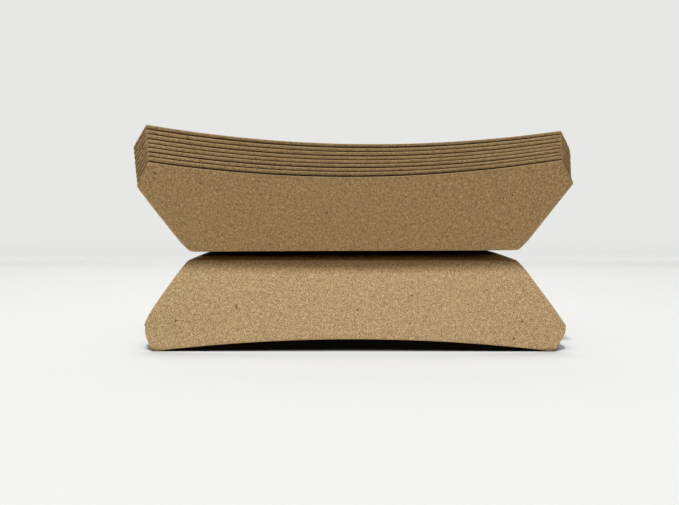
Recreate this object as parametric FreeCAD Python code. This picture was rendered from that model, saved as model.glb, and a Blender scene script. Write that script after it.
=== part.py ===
import FreeCAD, Part
import math
import os

V = FreeCAD.Vector

# A stack of folded paperboard food trays: one tray lies upside down on the table,
# and a nest of upright trays stands on its bottom. Millimetres, +Z up, +X along the trays.
# The origin is on the table, under the middle of the stack.

# One tray, measured on the outside of the board
base_length = 153.3
base_width = 95.0
corner_height = 40.0
side_flare = 17.0
side_bow = 3.3
end_flare = 34.3
board = 0.36
fold_radius = 1.2
bottom_crown = 1.8

# The rims: how far each dips in its middle, and how the side panels' corners are cut off
side_rim_dip = 6.5
end_rim_dip = 3.0
corner_cut_depth = 9.8
corner_cut_length = 14.0

# The folded web at each corner, glued flat on the outside of the end panel
web_layer = 0.25
web_start = 3.0

# How the trays sit in and on each other, from the lowest tray up
nest_count = 9
nest_clearance = 0.06
seat_clearance = 0.05
nest_slack = [0.50, 0.0, 0.18, 0.0, 0.0, 0.30, 0.10, 0.22]
first_tilt = -0.28
tilt_step = 0.14
nest_offset = 0.8

# Values that follow from the sizes above
side_lean = math.tan(math.radians(side_flare))
end_lean = math.tan(math.radians(end_flare))
side_cos = math.cos(math.radians(side_flare))
end_cos = math.cos(math.radians(end_flare))
side_sin = math.sin(math.radians(side_flare))
end_sin = math.sin(math.radians(end_flare))
web_thickness = 2 * web_layer
crown_radius = (base_width ** 2 / 4 + bottom_crown ** 2) / (2 * bottom_crown)
crown_centre = crown_radius - bottom_crown
blank_top = corner_height + 4 * fold_radius
blank_reach = base_length / 2 + blank_top * end_lean + 4 * fold_radius


def corner_line(height):
    """The outside corner fold's point at a height, at the +X +Y corner, on unbowed panels."""
    return V(base_length / 2 + height * end_lean, base_width / 2 + height * side_lean, height)


fold_top = corner_line(corner_height - corner_cut_depth)
rim_end = corner_line(corner_height) - V(corner_cut_length, 0, 0)


def polygon(points):
    """A flat face with straight edges through the points."""
    return Part.Face(Part.makePolygon(points + [points[0]]))


def side_outline(height, inset):
    """The tray's outline at one height, long sides bowed outwards, before its ends are cut."""
    points = []
    for x in (-blank_reach, 0, blank_reach):
        # The bow is full in the middle of the rim, and nothing at the corners and at the bottom fold
        lean = side_lean + side_bow / corner_height * (1 - (x / corner_line(corner_height).x) ** 2)
        points.append(V(x, base_width / 2 + height * lean - inset * math.hypot(1, lean), height))
    back = Part.Arc(*points).toShape()
    front = Part.Arc(*[V(p.x, -p.y, p.z) for p in reversed(points)]).toShape()
    right = Part.LineSegment(points[2], V(points[2].x, -points[2].y, height)).toShape()
    left = Part.LineSegment(V(points[0].x, -points[0].y, height), points[0]).toShape()
    return Part.Wire([back, right, front, left])


def above_bottom(inset):
    """All the room above the crowned bottom, an arc across the tray."""
    radius = crown_radius - inset
    half = base_width
    z_side = crown_centre - math.sqrt(radius ** 2 - half ** 2)
    corners = [V(0, half, z_side), V(0, half, blank_top), V(0, -half, blank_top), V(0, -half, z_side)]
    lines = [Part.LineSegment(p, q).toShape() for p, q in zip(corners, corners[1:])]
    lines.append(Part.Arc(corners[3], V(0, 0, crown_centre - radius), corners[0]).toShape())
    face = Part.Face(Part.Wire(lines))
    face.translate(V(-blank_reach, 0, 0))
    return face.extrude(V(2 * blank_reach, 0, 0))


def envelope(inset, end_inset):
    """The filled tray with its side faces and its end faces moved inwards, and its folds rounded."""
    z_low = -2 * bottom_crown
    between_sides = Part.makeLoft([side_outline(z_low, inset), side_outline(blank_top, inset)], True, True)
    half_low = base_length / 2 - end_inset / end_cos + z_low * end_lean
    half_top = base_length / 2 - end_inset / end_cos + blank_top * end_lean
    between_ends = polygon([
        V(-half_low, -base_width, z_low),
        V(half_low, -base_width, z_low),
        V(half_top, -base_width, blank_top),
        V(-half_top, -base_width, blank_top),
    ]).extrude(V(0, 2 * base_width, 0))
    solid = above_bottom(inset).common(between_sides).common(between_ends)
    folds = [edge for edge in solid.Edges if edge.BoundBox.ZMin < corner_height]
    return solid.makeFillet(fold_radius - inset, folds)


def web_zone():
    """A prism over one folded web: a slender triangle beside the +X +Y corner fold."""
    # The web fills what is left of the blank's right angle between the two panels
    side_angle = math.atan(end_lean * side_cos)
    end_angle = math.atan(side_lean * end_cos)
    half_angle = (math.pi / 2 - side_angle - end_angle) / 2
    outward = V(end_cos, 0, -end_sin)
    foot = corner_line(0)
    fold_length = (fold_top - foot).Length
    fold_way = (fold_top - foot).normalize()
    crease_way = FreeCAD.Rotation(outward, math.degrees(half_angle)).multVec(fold_way)
    past_fold = outward.cross(fold_way) * (-2 * fold_radius)
    low_fold = foot + fold_way * web_start
    low_crease = foot + crease_way * web_start
    top_crease = foot + crease_way * (fold_length * math.cos(half_angle))
    face = polygon([low_fold + past_fold, low_fold, low_crease, top_crease, fold_top, fold_top + past_fold])
    face.translate(outward * (-3 * fold_radius))
    return face.extrude(outward * (3 * fold_radius + 2 * web_thickness))


def side_rim_cutter():
    """Everything above the side panels' curved rims and cut corners, seen from the side."""
    cut = [V(fold_top.x, 0, fold_top.z), V(rim_end.x, 0, corner_height)]
    far = [V(blank_reach, 0, 2 * corner_height), V(blank_reach, 0, fold_top.z)]
    right = far + cut
    left = [V(-p.x, 0, p.z) for p in reversed(right)]
    lines = [Part.LineSegment(p, q).toShape() for p, q in zip(right, right[1:])]
    lines.append(Part.Arc(right[-1], V(0, 0, corner_height - side_rim_dip), left[0]).toShape())
    lines += [Part.LineSegment(p, q).toShape() for p, q in zip(left, left[1:])]
    lines.append(Part.LineSegment(left[-1], right[0]).toShape())
    face = Part.Face(Part.Wire(lines))
    face.translate(V(0, -base_width, 0))
    return face.extrude(V(0, 2 * base_width, 0))


def end_rim_cutter():
    """The shallow dip in the +X end panel's rim, seen from the end."""
    half = fold_top.y - 2 * fold_radius
    low = V(0, 0, fold_top.z - end_rim_dip)
    corners = [V(0, half, fold_top.z), V(0, half, corner_height), V(0, -half, corner_height)]
    corners.append(V(0, -half, fold_top.z))
    lines = [Part.LineSegment(p, q).toShape() for p, q in zip(corners, corners[1:])]
    lines.append(Part.Arc(corners[3], low, corners[0]).toShape())
    face = Part.Face(Part.Wire(lines))
    face.translate(V(base_length / 2, 0, 0))
    return face.extrude(V(blank_reach, 0, 0))


def make_tray():
    """One upright tray, folded from one blank, with the four webs glued to its end panels."""
    hollow = envelope(board, board)
    walls = envelope(0, 0).cut(hollow)
    webbed = envelope(0, -web_thickness).cut(hollow)
    zone = web_zone()
    zones = [zone, zone.mirror(V(0, 0, 0), V(1, 0, 0))]
    zones += [z.mirror(V(0, 0, 0), V(0, 1, 0)) for z in zones]
    tray = walls.fuse([webbed.common(z) for z in zones])
    dip = end_rim_cutter()
    tray = tray.cut([side_rim_cutter(), dip, dip.mirror(V(0, 0, 0), V(1, 0, 0))])
    return tray.Solids[0]


def nest_pitch():
    """The smallest rise from one nested tray to the next, set by ends, sides or bottoms."""
    at_ends = (board + web_thickness + nest_clearance) / end_sin
    at_sides = (board + nest_clearance) / side_sin
    return max(at_ends, at_sides, board + nest_clearance)


def make_stack():
    """The upturned tray and the nest on it, as a dictionary of node names and solids."""
    tray = make_tray()
    turn_over = FreeCAD.Placement(V(0, 0, corner_height), FreeCAD.Rotation(V(1, 0, 0), 180))
    trays = {"base_tray": tray.transformed(turn_over.toMatrix())}
    # The nest stands on the crowned bottom, a little off level
    tilt_lift = base_length / 2 * math.sin(math.radians(abs(first_tilt)))
    seat = corner_height + 2 * bottom_crown + seat_clearance + tilt_lift
    place = FreeCAD.Placement(V(nest_offset, 0, seat), FreeCAD.Rotation(V(0, 1, 0), first_tilt))
    # Each next tray tips about the point where the normals of the two end panels meet
    middle_height = fold_top.z / 2
    tip_centre = V(0, 0, middle_height + (base_length / 2 + middle_height * end_lean) * end_lean)
    for index in range(nest_count):
        trays["nest_tray_%d" % (index + 1)] = tray.transformed(place.toMatrix())
        slack = nest_slack[index % len(nest_slack)]
        rise = FreeCAD.Placement(V(0, 0, nest_pitch() + slack), FreeCAD.Rotation())
        tip = FreeCAD.Placement(V(0, 0, 0), FreeCAD.Rotation(V(0, 1, 0), tilt_step), tip_centre)
        place = place.multiply(rise).multiply(tip)
    return trays


trays = make_stack()
box = Part.makeCompound(list(trays.values())).optimalBoundingBox()
to_origin = V(-(box.XMin + box.XMax) / 2, -(box.YMin + box.YMax) / 2, -box.ZMin)

os.makedirs("parts", exist_ok=True)
for name, tray in trays.items():
    tray.translate(to_origin)
    tray.exportStep("parts/" + name + ".step")
    print(name, "volume", round(tray.Volume, 1), "valid", tray.isValid())
print("size", [round(v, 2) for v in (box.XLength, box.YLength, box.ZLength)])
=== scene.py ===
import math

import bpy
import numpy as np
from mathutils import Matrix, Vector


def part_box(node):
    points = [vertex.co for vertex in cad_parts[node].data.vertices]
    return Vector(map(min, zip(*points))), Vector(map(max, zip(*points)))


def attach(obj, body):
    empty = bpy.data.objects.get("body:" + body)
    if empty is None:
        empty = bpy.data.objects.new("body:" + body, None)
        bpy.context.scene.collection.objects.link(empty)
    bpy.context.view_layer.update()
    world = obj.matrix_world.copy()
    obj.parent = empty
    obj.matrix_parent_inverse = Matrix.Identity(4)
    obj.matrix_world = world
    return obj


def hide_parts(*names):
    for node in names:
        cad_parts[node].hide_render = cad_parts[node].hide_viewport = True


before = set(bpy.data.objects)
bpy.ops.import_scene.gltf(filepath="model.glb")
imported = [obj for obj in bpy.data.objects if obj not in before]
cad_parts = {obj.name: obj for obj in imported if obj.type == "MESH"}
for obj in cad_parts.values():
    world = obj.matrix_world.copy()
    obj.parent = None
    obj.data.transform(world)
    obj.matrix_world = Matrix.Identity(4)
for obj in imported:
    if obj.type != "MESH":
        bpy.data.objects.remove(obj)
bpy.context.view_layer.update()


# The upturned tray.
# One blank of unbleached kraft board, die cut, creased and folded up, with its four corner webs
# doubled over and glued flat on the outside of the end panels. It lies on its rim, and its front
# left corner is worn round. Sizes are in millimetres.
mm = 0.001
board = 0.36
bottom_length, bottom_width, bottom_crown = 153.3, 95.0, 1.8
corner_height, end_rim_dip = 40.0, 3.0
cut_depth, cut_length = 9.8, 14.0
side_lean, end_lean = math.tan(math.radians(17.0)), math.tan(math.radians(34.3))
web_thickness, web_width_low, web_width_top = 0.5, 0.8, 13.6
crease_softness = 0.62
# The unevenness of the pressed board and the number its waves are drawn from, the rounding of its
# cut edge on the inner face, and the groove where two layers meet in that edge
unevenness, wave_seed = 0.05, 3
edge_round_in, seam_depth = 0.08, 0.07
# Where it bends more than this it shows an edge. The flat blanks lie this far apart on the UV map
edge_angle, blank_spacing = math.radians(38), 400

fold_top = corner_height - cut_depth
corner_x_top = bottom_length / 2 + corner_height * end_lean
rim_end_x = corner_x_top - cut_length
cut_x = bottom_length / 2 + fold_top * end_lean


def graded(count, pull):
    """Numbers from 0 to 1, closer together near 0: a hyperbolic sine of even steps."""
    even = np.linspace(0, 1, count)
    return np.sinh(pull * even) / math.sinh(pull)


def soft_corner(distance, softness):
    """Two legs of a rounded corner for a signed distance past it: a hyperbola's two coordinates."""
    root = np.sqrt(distance ** 2 + softness ** 2)
    return (root - distance) / 2, (root + distance) / 2


def rim_height(share, rim_dip):
    """Height of a side panel's rim on a line that runs up the panel at a share of the way to its
    corner: the lower of the cut corner's straight edge and the hollow rim, a parabola. The place
    along the rim and its height there settle in eight rounds."""
    run = (cut_x - rim_end_x) / cut_depth
    on_cut = (rim_end_x + corner_height * run - share * bottom_length / 2) / (run + share * end_lean)
    on_rim = np.full_like(share, corner_height)
    for _ in range(8):
        x = share * (bottom_length / 2 + on_rim * end_lean)
        on_rim = corner_height - rim_dip * (1 - np.minimum(x / rim_end_x, 1) ** 2)
    return np.minimum(on_rim, on_cut)


def quarter(corner_softness, rim_dip, bow):
    """One quarter of the tray's outside as a grid of points, from the middle of a side panel to
    the middle of an end panel, and from the rim over the fold to near the bottom's centre. Each
    panel is a plane leaning out with height, the folds between them are hyperbolas, and the side
    panel bows out by a parabola. With it come the web's standoff, and 1 for the columns on the
    side panel."""
    # Columns: shares of the way along the side panel, and on the end panel across the web, round
    # the web's crease and on to the middle
    n_below_rim, n_below_cut, n_web, n_edge, n_middle = 17, 14, 11, 5, 14
    share_at_rim_end = rim_end_x / corner_x_top
    below_rim = np.linspace(0, share_at_rim_end, n_below_rim)
    below_cut = (1 - (1 - share_at_rim_end) * graded(n_below_cut, 2.5))[::-1][1:]
    side_share = np.concatenate([below_rim, below_cut])
    web_share = graded(n_web, 2.0)[1:]
    edge_share = np.linspace(0, 1, n_edge)[1:]
    middle_share = np.linspace(0, 1, n_middle)[1:]
    counts = [len(side_share), len(web_share), len(edge_share), len(middle_share)]
    side = np.repeat([1.0, 0.0, 0.0, 0.0], counts)
    share = np.concatenate([side_share, np.ones(sum(counts[1:]))])
    web = np.concatenate([np.zeros(counts[0]), web_share, np.ones(sum(counts[2:]))])
    edge = np.concatenate([np.zeros(sum(counts[:2])), edge_share, np.ones(counts[3])])
    middle = np.concatenate([np.zeros(sum(counts[:3])), middle_share])
    # The rim's height and the fold's height for each column
    half_top = bottom_width / 2 + fold_top * side_lean
    web_top = web * web_width_top + edge * web_thickness
    y_top = half_top - web_top - middle * (half_top - web_width_top - web_thickness)
    end_rim = fold_top - end_rim_dip * (1 - (y_top / half_top) ** 2)
    rim = np.where(side > 0, rim_height(share, rim_dip), end_rim)
    web_low = web * web_width_low + edge * web_thickness
    y_low = bottom_width / 2 - web_low - middle * (bottom_width / 2 - web_width_low - web_thickness)
    fold_z = np.where(side > 0, 0, -bottom_crown * (1 - (2 * y_low / bottom_width) ** 2))
    # Rows: even steps down the wall, then closer ones over the fold, as far from it as given here
    n_wall, n_rings = 22, 15
    wall = np.linspace(1, 0, n_wall)[:-1]
    above_fold = np.array([3.0, 2.0, 1.4, 0.95, 0.6, 0.35, 0.15])
    past_fold = np.concatenate([above_fold, [0.0], -above_fold[::-1]])
    inward, upward = soft_corner(past_fold, crease_softness)
    up_wall = upward[0] + wall[:, None] * (rim - fold_z - upward[0])
    up = np.concatenate([up_wall, np.repeat(upward[:, None], len(rim), axis=1)])
    inset = np.concatenate([np.full(len(wall), inward[0]), inward])[:, None]
    z = fold_z + up
    half_x = bottom_length / 2 + z * end_lean - inset
    half_y = bottom_width / 2 + z * side_lean - inset
    # The corner fold is crisp over most of its height, and softens with the fifth power of it
    height_share = np.clip(up / fold_top, 0, 1)
    web_width = web_width_low + height_share * (web_width_top - web_width_low)
    from_corner = web * web_width + edge * web_thickness + middle * (half_y - web_width - web_thickness)
    past_corner = np.where(side > 0, -(1 - share) * half_x, from_corner)
    softness = crease_softness + (corner_softness - crease_softness) * height_share ** 5
    from_x, from_y = soft_corner(past_corner, softness)
    x = (half_x - from_x) * np.where(share == 0, 0, 1)
    y = np.maximum(half_y - from_y, 0) * np.where(middle == 1, 0, 1)
    # The side panels bow outwards towards the middle of the rim
    y = y + bow * z / corner_height * (1 - (x / corner_x_top) ** 2) * (y / half_y)
    # The bottom: rings that shrink to the centre, on the crowned surface
    ring = np.linspace(1, 0, n_rings)[1:-1, None]
    x_in, y_in = ring * x[-1], ring * y[-1]
    z_edge = z[-1] + bottom_crown * (1 - (2 * y[-1] / bottom_width) ** 2)
    z_in = -bottom_crown * (1 - (2 * y_in / bottom_width) ** 2) + z_edge * ring ** 3
    points = np.concatenate([np.stack([x, y, z], axis=-1), np.stack([x_in, y_in, z_in], axis=-1)])
    # The doubled web stands off the end panel: it starts in a smooth step over a fifth of its
    # width, ends in a quarter ellipse, and fades out from 4.8 to 0.8 mm above the bottom fold
    start = np.clip(web / 0.2, 0, 1)
    standoff = web_thickness * start ** 2 * (3 - 2 * start) * np.sqrt(np.clip(1 - edge ** 2, 0, 1))
    up_all = np.concatenate([up, np.zeros((len(ring), len(rim)))])
    rise = np.clip((up_all - 0.8) / 4, 0, 1)
    # A web lies flatter where its corner is worn rounder than this
    flat_from = 2.4
    return points, standoff * rise * min(1, flat_from / corner_softness), side


def tray_shape(softness_by_corner, rim_dip, bow):
    """The whole tray's outside from four mirrored quarters, with their web standoff and sides.
    Every second quarter runs backwards, and each leaves out the column that starts the next."""
    quarters = []
    for sx, sy in ((1, 1), (1, -1), (-1, -1), (-1, 1)):
        points, standoff, side = quarter(softness_by_corner[(sx, sy)], rim_dip, bow)
        way = slice(None, -1) if sx * sy > 0 else slice(None, 0, -1)
        quarters.append((points[:, way] * np.array([sx, sy, 1]), standoff[:, way], side[way]))
    points, standoffs, sides = zip(*quarters)
    return np.concatenate(points, axis=1), np.concatenate(standoffs, axis=1), np.concatenate(sides)


def grid_normals(points):
    """Outward unit normals of a grid that closes round its columns, from its central differences."""
    along = np.roll(points, -1, axis=1) - np.roll(points, 1, axis=1)
    down = np.gradient(points, axis=0)
    normal = np.cross(along, down)
    length = np.linalg.norm(normal, axis=-1, keepdims=True)
    return normal / np.maximum(length, 1e-9)


def smooth_wave(points, seed):
    """A slow unevenness of the board: the sum of a few long sine waves in seeded directions."""
    rng = np.random.default_rng(seed)
    total = np.zeros(points.shape[:-1])
    longest = 95
    for length in (longest, 62, 41, 27):
        way = rng.normal(size=3)
        way /= np.linalg.norm(way)
        phase = rng.uniform(0, 2 * math.pi)
        total += length / longest * np.sin(2 * math.pi * (points @ way) / length + phase)
    return total


def cut_edge(outer_rim, inner_rim, down, standoff, edge_round_out):
    """Rows of points across the cut edge, straight from rim to rim but for two things: it is
    pressed round by parabolas over the outer two fifths and the inner three tenths, and beside
    the web it has a shallow V groove wherever two layers of board meet."""
    across = np.linspace(0, 1, 11)[:, None]
    pressed_out = edge_round_out * np.maximum(0, 1 - across / 0.4) ** 2
    pressed_in = edge_round_in * np.maximum(0, across / 0.3 - 2.33) ** 2
    pressed_thinner = 0.06
    layer_thickness = board - pressed_thinner
    layer = across * (board + standoff) / layer_thickness
    at_seam = np.maximum(0, 1 - 6 * np.abs(layer - np.round(layer)))
    groove = np.where((standoff > 0.1) & (layer > 0.5), seam_depth * at_seam, 0)
    straight = outer_rim + (inner_rim - outer_rim) * across[..., None]
    return straight + down * (pressed_out + pressed_in + groove)[..., None]


def inside(points, node):
    """Points shifted so that their lowest point and their middle match the piece's solid in the
    frame, and squeezed by the hair by which the uneven board would stick out of it."""
    low, high = [np.array(corner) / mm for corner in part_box(node)]
    points = points * np.minimum(1, (high - low) / (points.max(axis=0) - points.min(axis=0)))
    shift = (low + high - points.min(axis=0) - points.max(axis=0)) / 2
    shift[2] = low[2] - points[:, 2].min()
    return points + shift


def lay_flat(mesh, grid, side, blank_number):
    """The UV map, in metres: each panel unfolded about its bottom fold, so that a point's place in
    the blank is its distance along the fold and its slant distance past it. The blanks lie apart
    by their number both ways, so that no two trays show the same grain."""
    x, y = grid[..., 0], grid[..., 1]
    unfolded = []
    for distance, fold, lean in ((y, bottom_width / 2, side_lean), (x, bottom_length / 2, end_lean)):
        slant = np.maximum(np.abs(distance) - fold, 0) * (math.hypot(1, lean) / lean)
        unfolded.append(np.sign(distance) * (np.minimum(np.abs(distance), fold) + slant))
    hubs = np.zeros((2, 2))
    flat_side = np.concatenate([np.stack([x, unfolded[0]], axis=-1).reshape(-1, 2), hubs])
    flat_end = np.concatenate([np.stack([unfolded[1], y], axis=-1).reshape(-1, 2), hubs])
    corner_vertex = np.empty(len(mesh.loops), dtype=np.int32)
    mesh.loops.foreach_get("vertex_index", corner_vertex)
    corner_count = np.empty(len(mesh.polygons), dtype=np.int32)
    mesh.polygons.foreach_get("loop_total", corner_count)
    # A face belongs to a side panel if all of its columns do
    on_side = np.concatenate([np.tile(side, grid.shape[0]), [1, 1]])
    face_of = np.repeat(np.arange(len(corner_count)), corner_count)
    lowest = np.ones(len(corner_count))
    np.minimum.at(lowest, face_of, on_side[corner_vertex])
    by_side = lowest[face_of][:, None] > 0.5
    flat = np.where(by_side, flat_side[corner_vertex], flat_end[corner_vertex])
    layer = mesh.uv_layers.new(name="blank")
    place = (flat + blank_spacing * blank_number) * mm
    layer.data.foreach_set("uv", place.astype(np.float32).reshape(-1))


def tray_mesh(node, softness_by_corner, rim_dip, bow, edge_round_out, place, blank_number):
    """A closed board shape: the outside grid, the same grid one board thickness further in along
    its normals, and the cut edge between their rims."""
    middle, standoff, side = tray_shape(softness_by_corner, rim_dip, bow)
    middle = middle + grid_normals(middle) * (unevenness * smooth_wave(middle, wave_seed)[..., None])
    normal = grid_normals(middle)
    outer = middle + normal * standoff[..., None]
    inner = middle - normal * board
    along = np.roll(middle[0], -1, axis=0) - np.roll(middle[0], 1, axis=0)
    down = np.cross(normal[0], along)
    down /= np.linalg.norm(down, axis=-1, keepdims=True)
    down *= -np.sign(down[:, 2:])
    edge_rows = cut_edge(outer[0], inner[0], down, standoff[0], edge_round_out)
    outer[0], inner[0] = edge_rows[0], edge_rows[-1]
    edge_rows = edge_rows[1:-1]
    grid = np.concatenate([outer[::-1], edge_rows, inner])
    centres = np.array([[0, 0, outer[-1, :, 2].min()], [0, 0, inner[-1, :, 2].min()]])
    points = inside(place(np.concatenate([grid.reshape(-1, 3), centres])), node)
    # Four-sided faces between the rows, and a fan of triangles at each centre
    rows, columns = grid.shape[:2]
    row, column = np.meshgrid(np.arange(rows - 1), np.arange(columns), indexing="ij")
    here = row * columns + column
    beside = row * columns + (column + 1) % columns
    quads = np.stack([here, beside, beside + columns, here + columns], axis=-1).reshape(-1, 4)
    first = np.arange(columns)
    last = first + (rows - 1) * columns
    hub_out = np.full(columns, rows * columns)
    fan_out = np.stack([np.roll(first, -1), first, hub_out], axis=-1)
    fan_in = np.stack([last, np.roll(last, -1), hub_out + 1], axis=-1)
    name = node + "_board"
    mesh = bpy.data.meshes.new(name)
    mesh.from_pydata(points * mm, [], quads.tolist() + fan_out.tolist() + fan_in.tolist())
    # The cut edge has its own, paler finish
    mesh.materials.append(board_face)
    mesh.materials.append(board_edge)
    row_of = np.concatenate([row.reshape(-1), np.full(2 * columns, -1)])
    is_edge = (row_of >= len(outer) - 1) & (row_of < len(outer) + len(edge_rows))
    mesh.polygons.foreach_set("material_index", is_edge.astype(np.int32))
    mesh.polygons.foreach_set("use_smooth", np.ones(len(mesh.polygons), dtype=bool))
    lay_flat(mesh, grid, side, blank_number)
    mesh.update()
    mesh.set_sharp_from_angle(angle=edge_angle)
    piece = bpy.data.objects.new(name, mesh)
    bpy.context.scene.collection.objects.link(piece)
    return piece


def linear(hex_colour):
    """An sRGB hex colour as linear RGBA."""
    channels = [int(hex_colour[i:i + 2], 16) / 255 for i in (1, 3, 5)]
    return [c / 12.92 if c <= 0.04045 else ((c + 0.055) / 1.055) ** 2.4 for c in channels] + [1.0]


def add_node(tree, kind, settings=(), **links):
    """A new node with its settings, and its inputs set or linked by name, or by number as _0."""
    node = tree.nodes.new(kind)
    for key, value in dict(settings).items():
        setattr(node, key, value)
    for key, value in links.items():
        socket = node.inputs[int(key[1:])] if key[0] == "_" else node.inputs[key.replace("_", " ")]
        if isinstance(value, bpy.types.NodeSocket):
            tree.links.new(value, socket)
        else:
            socket.default_value = value
    return node


def new_material(name):
    """An empty material with its output node."""
    material = bpy.data.materials.new(name)
    material.use_nodes = True
    material.node_tree.nodes.clear()
    return material, material.node_tree, material.node_tree.nodes.new("ShaderNodeOutputMaterial")


def kraft_board():
    """Unbleached kraft board, felted and pressed from brown softwood fibres: matt, with a fine
    grain, paler and darker fibres lying every way, a few dark flecks of bark and a slow mottling.
    A real fibre is 0.03 mm wide, too fine to show, so fibres are drawn about ten times as wide.
    Narrow gaps between boards and tight creases get painted shade: a darker colour where the board is shut
    in."""
    material, tree, output = new_material("unbleached kraft board")
    blank = add_node(tree, "ShaderNodeUVMap", {"uv_map": "blank"}).outputs["UV"]
    # Patterns of noise, added up where they share a name: how many times longer than wide, which
    # way they lie in degrees, how many per metre (2500 are 0.4 mm wide each, 320 are 3 mm, 90 are
    # 11 mm), how many finer steps, how strong those are, and the peaks that show if not the whole
    patterns = (
        ("felt", 2, 8, 2500, 1, 0.5, None),
        ("felt", 4, 53, 2800, 1, 0.5, None),
        ("felt", 2, 97, 2300, 1, 0.5, None),
        ("felt", 4, 141, 3100, 1, 0.5, None),
        ("grain", 1, 0, 2300, 1, 0.6, None),
        ("mottle", 1, 0, 90, 4, 0.5, None),
        ("pale fibres", 6, 24, 2600, 0, 0.5, (0.66, 0.78)),
        ("pale fibres", 6, 112, 2600, 0, 0.5, (0.66, 0.78)),
        ("dark fibres", 6, -38, 2500, 0, 0.5, (0.68, 0.80)),
        ("dark fibres", 6, 71, 2500, 0, 0.5, (0.68, 0.80)),
        ("bark flecks", 1.4, 60, 320, 1, 0.5, (0.80, 0.85)),
    )
    smooth = {"interpolation_type": "SMOOTHSTEP"}
    height = {}
    for name, longer, turn, per_metre, steps, strength, peaks in patterns:
        lie = add_node(tree, "ShaderNodeMapping", {"vector_type": "TEXTURE"}, Vector=blank,
                       Rotation=(0, 0, math.radians(turn)), Scale=(longer, 1, 1)).outputs[0]
        value = add_node(tree, "ShaderNodeTexNoise", {"noise_dimensions": "2D"}, Vector=lie,
                         Scale=per_metre, Detail=steps, Roughness=strength).outputs[0]
        if peaks:
            value = add_node(tree, "ShaderNodeMapRange", smooth, Value=value, From_Min=peaks[0],
                             From_Max=peaks[1]).outputs[0]
        if name in height:
            value = add_node(tree, "ShaderNodeMath", {"operation": "ADD"}, _0=height[name],
                             _1=value).outputs[0]
        height[name] = value
    # How open the board is within 2.2 mm, which sets the painted shade in narrow gaps and creases
    painted_shade_openness = add_node(tree, "ShaderNodeAmbientOcclusion", {"samples": 8}, Distance=2.2 * mm).outputs["AO"]
    # Patterns in two colours, between two levels, and how much of each lies over those before it
    colour = linear("#AC875A")
    for name, low, high, low_colour, high_colour, share in (
        ("felt", 1.30, 2.70, "#664320", "#FFE9B8", 1.0),
        ("grain", 0.36, 0.64, "#694318", "#FFE2B2", 0.6),
        ("mottle", 0.3, 0.7, "#AC875A", "#BE9663", 0.25),
    ):
        tone = add_node(tree, "ShaderNodeMapRange", smooth, Value=height[name], From_Min=low,
                        From_Max=high).outputs[0]
        two_tone = add_node(tree, "ShaderNodeMix", {"data_type": "RGBA"}, _0=tone,
                            _6=linear(low_colour), _7=linear(high_colour)).outputs[2]
        colour = add_node(tree, "ShaderNodeMix", {"data_type": "RGBA"}, _0=share, _6=colour,
                          _7=two_tone).outputs[2]
    # What lies on top in one colour: from nothing at one level to this much at the other
    for value, low, high, share, over_colour in (
        (height["pale fibres"], 0, 1, 0.6, "#F4D9AC"),
        (height["dark fibres"], 0, 1, 0.45, "#6E4A26"),
        (height["bark flecks"], 0, 1, 0.8, "#523720"),
        # Painted shade: near black where the board is shut in, as in the gaps between nested trays
        (painted_shade_openness, 0.95, 0.74, 0.97, "#1E140A"),
    ):
        amount = add_node(tree, "ShaderNodeMapRange", smooth, Value=value, From_Min=low,
                          From_Max=high, To_Max=share).outputs[0]
        colour = add_node(tree, "ShaderNodeMix", {"data_type": "RGBA"}, _0=amount, _6=colour,
                          _7=linear(over_colour)).outputs[2]
    relief = add_node(tree, "ShaderNodeMath", {"operation": "ADD"}, _0=height["felt"],
                      _1=height["grain"]).outputs[0]
    bump = add_node(tree, "ShaderNodeBump", Strength=0.8, Distance=0.08 * mm, Height=relief).outputs[0]
    shader = add_node(tree, "ShaderNodeBsdfPrincipled", Base_Color=colour, Roughness=0.82, IOR=1.5,
                      Specular_IOR_Level=0.35, Normal=bump)
    tree.links.new(shader.outputs[0], output.inputs["Surface"])
    return material


def kraft_cut_edge():
    """The die-cut edge of kraft board: torn fibre ends in tufts of about 1 mm, paler and rougher
    than the pressed face."""
    material, tree, output = new_material("cut edge of kraft board")
    place = add_node(tree, "ShaderNodeTexCoord").outputs["Object"]
    tufts = add_node(tree, "ShaderNodeTexNoise", Vector=place, Scale=900, Detail=2).outputs[0]
    colour = add_node(tree, "ShaderNodeMix", {"data_type": "RGBA"}, _0=tufts, _6=linear("#A58559"),
                      _7=linear("#CFB388")).outputs[2]
    shader = add_node(tree, "ShaderNodeBsdfPrincipled", Base_Color=colour, Roughness=0.95, IOR=1.5)
    tree.links.new(shader.outputs[0], output.inputs["Surface"])
    return material


def upside_down(points):
    """Half a turn about the long axis, rim corners down on the table."""
    return points * np.array([1, -1, -1]) + np.array([0, 0, corner_height])


board_face, board_edge = kraft_board(), kraft_cut_edge()
# Rounding of the four corner folds at the rim, by the signs of x and y on the upright tray
worn = {(1, 1): 2.2, (1, -1): 2.4, (-1, -1): 2.4, (-1, 1): 5.5}
base_rim_dip, base_bow, base_edge_round = 5.6, 3.3, 0.25
base_tray = tray_mesh("base_tray", worn, base_rim_dip, base_bow, base_edge_round, upside_down, 0)
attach(base_tray, "root")
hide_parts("base_tray")


# The nine nested trays.
# The same folded and glued kraft board, standing in each other on the upturned bottom. Each is
# tipped a little more than the one below, and their side rims dip more than the upturned tray's.
def tipped(angle):
    """A turn about Y by an angle in degrees. A positive one lifts the left end."""
    c, s = math.cos(math.radians(angle)), math.sin(math.radians(angle))
    turn = np.array([[c, 0, s], [0, 1, 0], [-s, 0, c]])
    return lambda points: points @ turn.T


first_tilt, tilt_step = -0.28, 0.14
nest_rim_dip, nest_edge_round = 6.9, 0.15
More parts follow.
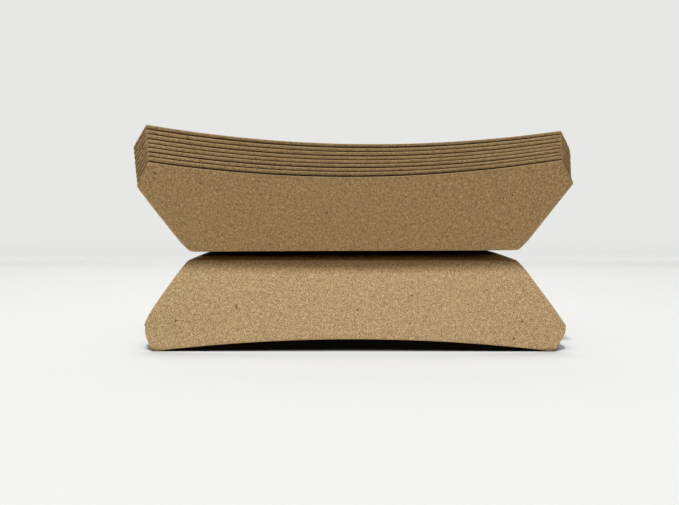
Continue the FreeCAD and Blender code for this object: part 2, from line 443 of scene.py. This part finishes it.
# How far each side panel bows out: the first, third and eighth stand off the next one
bows = [3.3, 3.05, 3.05, 2.85, 2.85, 2.85, 2.8, 2.8, 2.5]
for index, bow in enumerate(bows):
    node = "nest_tray_%d" % (index + 1)
    # Corner folds: crisper towards the top at the front left, uneven at the front right, where
    # only the lowest tray's is sharp, and alike at the back
    left = 1.6 - 0.12 * index
    right = 0.9 if index == 0 else 2.3 + 0.15 * (-1) ** index
    back = 1.8
    softness = {(1, 1): back, (1, -1): right, (-1, -1): left, (-1, 1): back}
    place = tipped(first_tilt + index * tilt_step)
    piece = tray_mesh(node, softness, nest_rim_dip, bow, nest_edge_round, place, index + 1)
    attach(piece, "root")
    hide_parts(node)


# The table and the wall behind it.
# One sheet swept sideways, flat table, cove and upright wall: a matt white table top runs back to
# a pale painted wall and turns up into it. Sizes are in metres.
# The painted contact shade on the table stops 0.2 m back, before the cove
half_width, front, painted_shade_end, far, wall_top, cove = 2.0, -1.4, 0.2, 0.40, 1.6, 0.014
cove_steps = 8


def stage_material(name, seen_colour, bounce_colour, plain_colour, plain_share, shade):
    """A matt surface that throws back less light than the camera sees, and of which the camera
    sees a share as one plain colour. It takes a soft painted shade within 20 mm of things that
    stand on it, and is painted black where it is shut in over 80 mm, as under the upturned tray."""
    material, tree, output = new_material(name)
    path = add_node(tree, "ShaderNodeLightPath")
    seen = add_node(tree, "ShaderNodeMath", {"operation": "MAXIMUM"}, _0=path.outputs["Is Camera Ray"],
                    _1=path.outputs["Is Glossy Ray"]).outputs[0]
    colour = add_node(tree, "ShaderNodeMix", {"data_type": "RGBA"}, _0=seen,
                      _6=linear(bounce_colour), _7=linear(seen_colour)).outputs[2]
    matt = add_node(tree, "ShaderNodeBsdfPrincipled", Base_Color=colour, Roughness=0.9).outputs[0]
    plain = add_node(tree, "ShaderNodeEmission", Color=linear(plain_colour), Strength=1.0).outputs[0]
    # The near black colour that the painted shade mixes in
    painted_shade_black = add_node(tree, "ShaderNodeEmission", Color=linear("#090706"), Strength=1.0).outputs[0]
    # How open the surface is above, from 0 to 1, looking 80 mm and 20 mm far
    wide = add_node(tree, "ShaderNodeAmbientOcclusion", {"samples": 16}, Distance=0.08).outputs["AO"]
    near = add_node(tree, "ShaderNodeAmbientOcclusion", {"samples": 16}, Distance=0.02).outputs["AO"]
    # Painted shade: black where the surface is shut in, and a soft painted contact shade near things
    painted_black_amount = add_node(tree, "ShaderNodeMapRange", {"interpolation_type": "SMOOTHSTEP"}, Value=wide,
                       From_Min=0.56, From_Max=0.38).outputs[0]
    painted_contact_shade = add_node(tree, "ShaderNodeMapRange", Value=near, From_Min=0.96, From_Max=0.62,
                    To_Max=shade).outputs[0]
    painted_shade_amount = add_node(tree, "ShaderNodeMath", {"operation": "MAXIMUM"}, _0=painted_black_amount, _1=painted_contact_shade).outputs[0]
    painted_shade_share = add_node(tree, "ShaderNodeMath", {"operation": "MULTIPLY"}, _0=seen,
                           _1=painted_shade_amount).outputs[0]
    seen_plain = add_node(tree, "ShaderNodeMath", {"operation": "MULTIPLY"}, _0=seen,
                          _1=plain_share).outputs[0]
    open_plain = add_node(tree, "ShaderNodeMath", {"operation": "MULTIPLY"}, _0=seen_plain,
                          _1=wide).outputs[0]
    lit = add_node(tree, "ShaderNodeMixShader", _0=open_plain, _1=matt, _2=plain).outputs[0]
    whole = add_node(tree, "ShaderNodeMixShader", _0=painted_shade_share, _1=lit, _2=painted_shade_black).outputs[0]
    tree.links.new(whole, output.inputs["Surface"])
    return material


turn = np.linspace(0, math.pi / 2, cove_steps + 1)
quarter_circle = np.stack([far - cove + cove * np.sin(turn), cove - cove * np.cos(turn)], axis=-1)
outline = np.concatenate([[(front, 0.0), (painted_shade_end, 0.0)], quarter_circle, [(far, wall_top)]])
count = len(outline)
ends = [np.column_stack([np.full(count, end), outline]) for end in (-half_width, half_width)]
at = np.arange(count - 1)
faces = np.stack([at, at + count, at + count + 1, at + 1], axis=-1)
mesh = bpy.data.meshes.new("table and wall")
mesh.from_pydata(np.concatenate(ends), [], faces.tolist())
mesh.materials.append(stage_material("white table top", "#E6E8E8", "#E3DAC6", "#FAFBFB", 0.5, 0.4))
mesh.materials.append(stage_material("white table top far off", "#E6E8E8", "#E3DAC6", "#FAFBFB", 0.5, 0.0))
mesh.materials.append(stage_material("pale wall", "#E8E8E6", "#E3DAC6", "#E7E8E6", 1.4, 0.0))
# The near table, which carries the painted contact shade, the far table with half of the cove, and the
# wall with the other half
half_cove = cove_steps // 2
mesh.polygons.foreach_set("material_index", [0] + [1] * (1 + half_cove) + [2] * (half_cove + 1))
mesh.polygons.foreach_set("use_smooth", [True] * len(faces))
sheet = bpy.data.objects.new("table and wall", mesh)
bpy.context.scene.collection.objects.link(sheet)


# The light.
# A small ceiling lamp a little in front of the stack. The room around is dim, though the camera
# sees it pale.
world = bpy.data.worlds.new("dim room")
world.use_nodes = True
dim = world.node_tree.nodes["Background"]
dim.inputs["Color"].default_value = linear("#FFFDF8")
dim.inputs["Strength"].default_value = 0.03
pale = add_node(world.node_tree, "ShaderNodeBackground", Color=linear("#EBECE9"), Strength=1.0)
seen = add_node(world.node_tree, "ShaderNodeLightPath").outputs["Is Camera Ray"]
room = add_node(world.node_tree, "ShaderNodeMixShader", _0=seen, _1=dim.outputs[0], _2=pale.outputs[0])
world.node_tree.links.new(room.outputs[0], world.node_tree.nodes["World Output"].inputs["Surface"])
bpy.context.scene.world = world

lamp_place, lamp_aim = np.array([-0.06, -0.40, 1.35]), np.array([0, 0, 0.05])
light = bpy.data.lights.new("ceiling lamp", "AREA")
light.shape, light.size, light.energy = "SQUARE", 0.08, 17.5
lamp = bpy.data.objects.new("ceiling lamp", light)
lamp.location = lamp_place
way = lamp_aim - lamp_place
yaw = math.atan2(way[1], way[0]) - math.pi / 2
pitch = math.atan2(way[2], math.hypot(way[0], way[1]))
lamp.rotation_euler = (math.pi / 2 + pitch, 0, yaw)
bpy.context.scene.collection.objects.link(lamp)


# The camera.
# A phone held straight in front, a little above the middle of the stack and turned down by 3.65
# degrees: 530 pixels of focal length on a picture 679 pixels wide.
picture_width, focal_pixels, sensor_width = 679, 530, 36.0
looks_down = 3.65
lens = bpy.data.cameras.new("camera")
lens.sensor_fit, lens.sensor_width = "HORIZONTAL", sensor_width
lens.lens = sensor_width * focal_pixels / picture_width
lens.clip_start, lens.clip_end = 0.01, 20
camera = bpy.data.objects.new("camera", lens)
camera.location = (-0.00635, -0.2927, 0.0590)
camera.rotation_euler = (math.radians(90 - looks_down), 0, 0)
bpy.context.scene.collection.objects.link(camera)
bpy.context.scene.camera = camera
bpy.context.scene.view_settings.view_transform = "Standard"
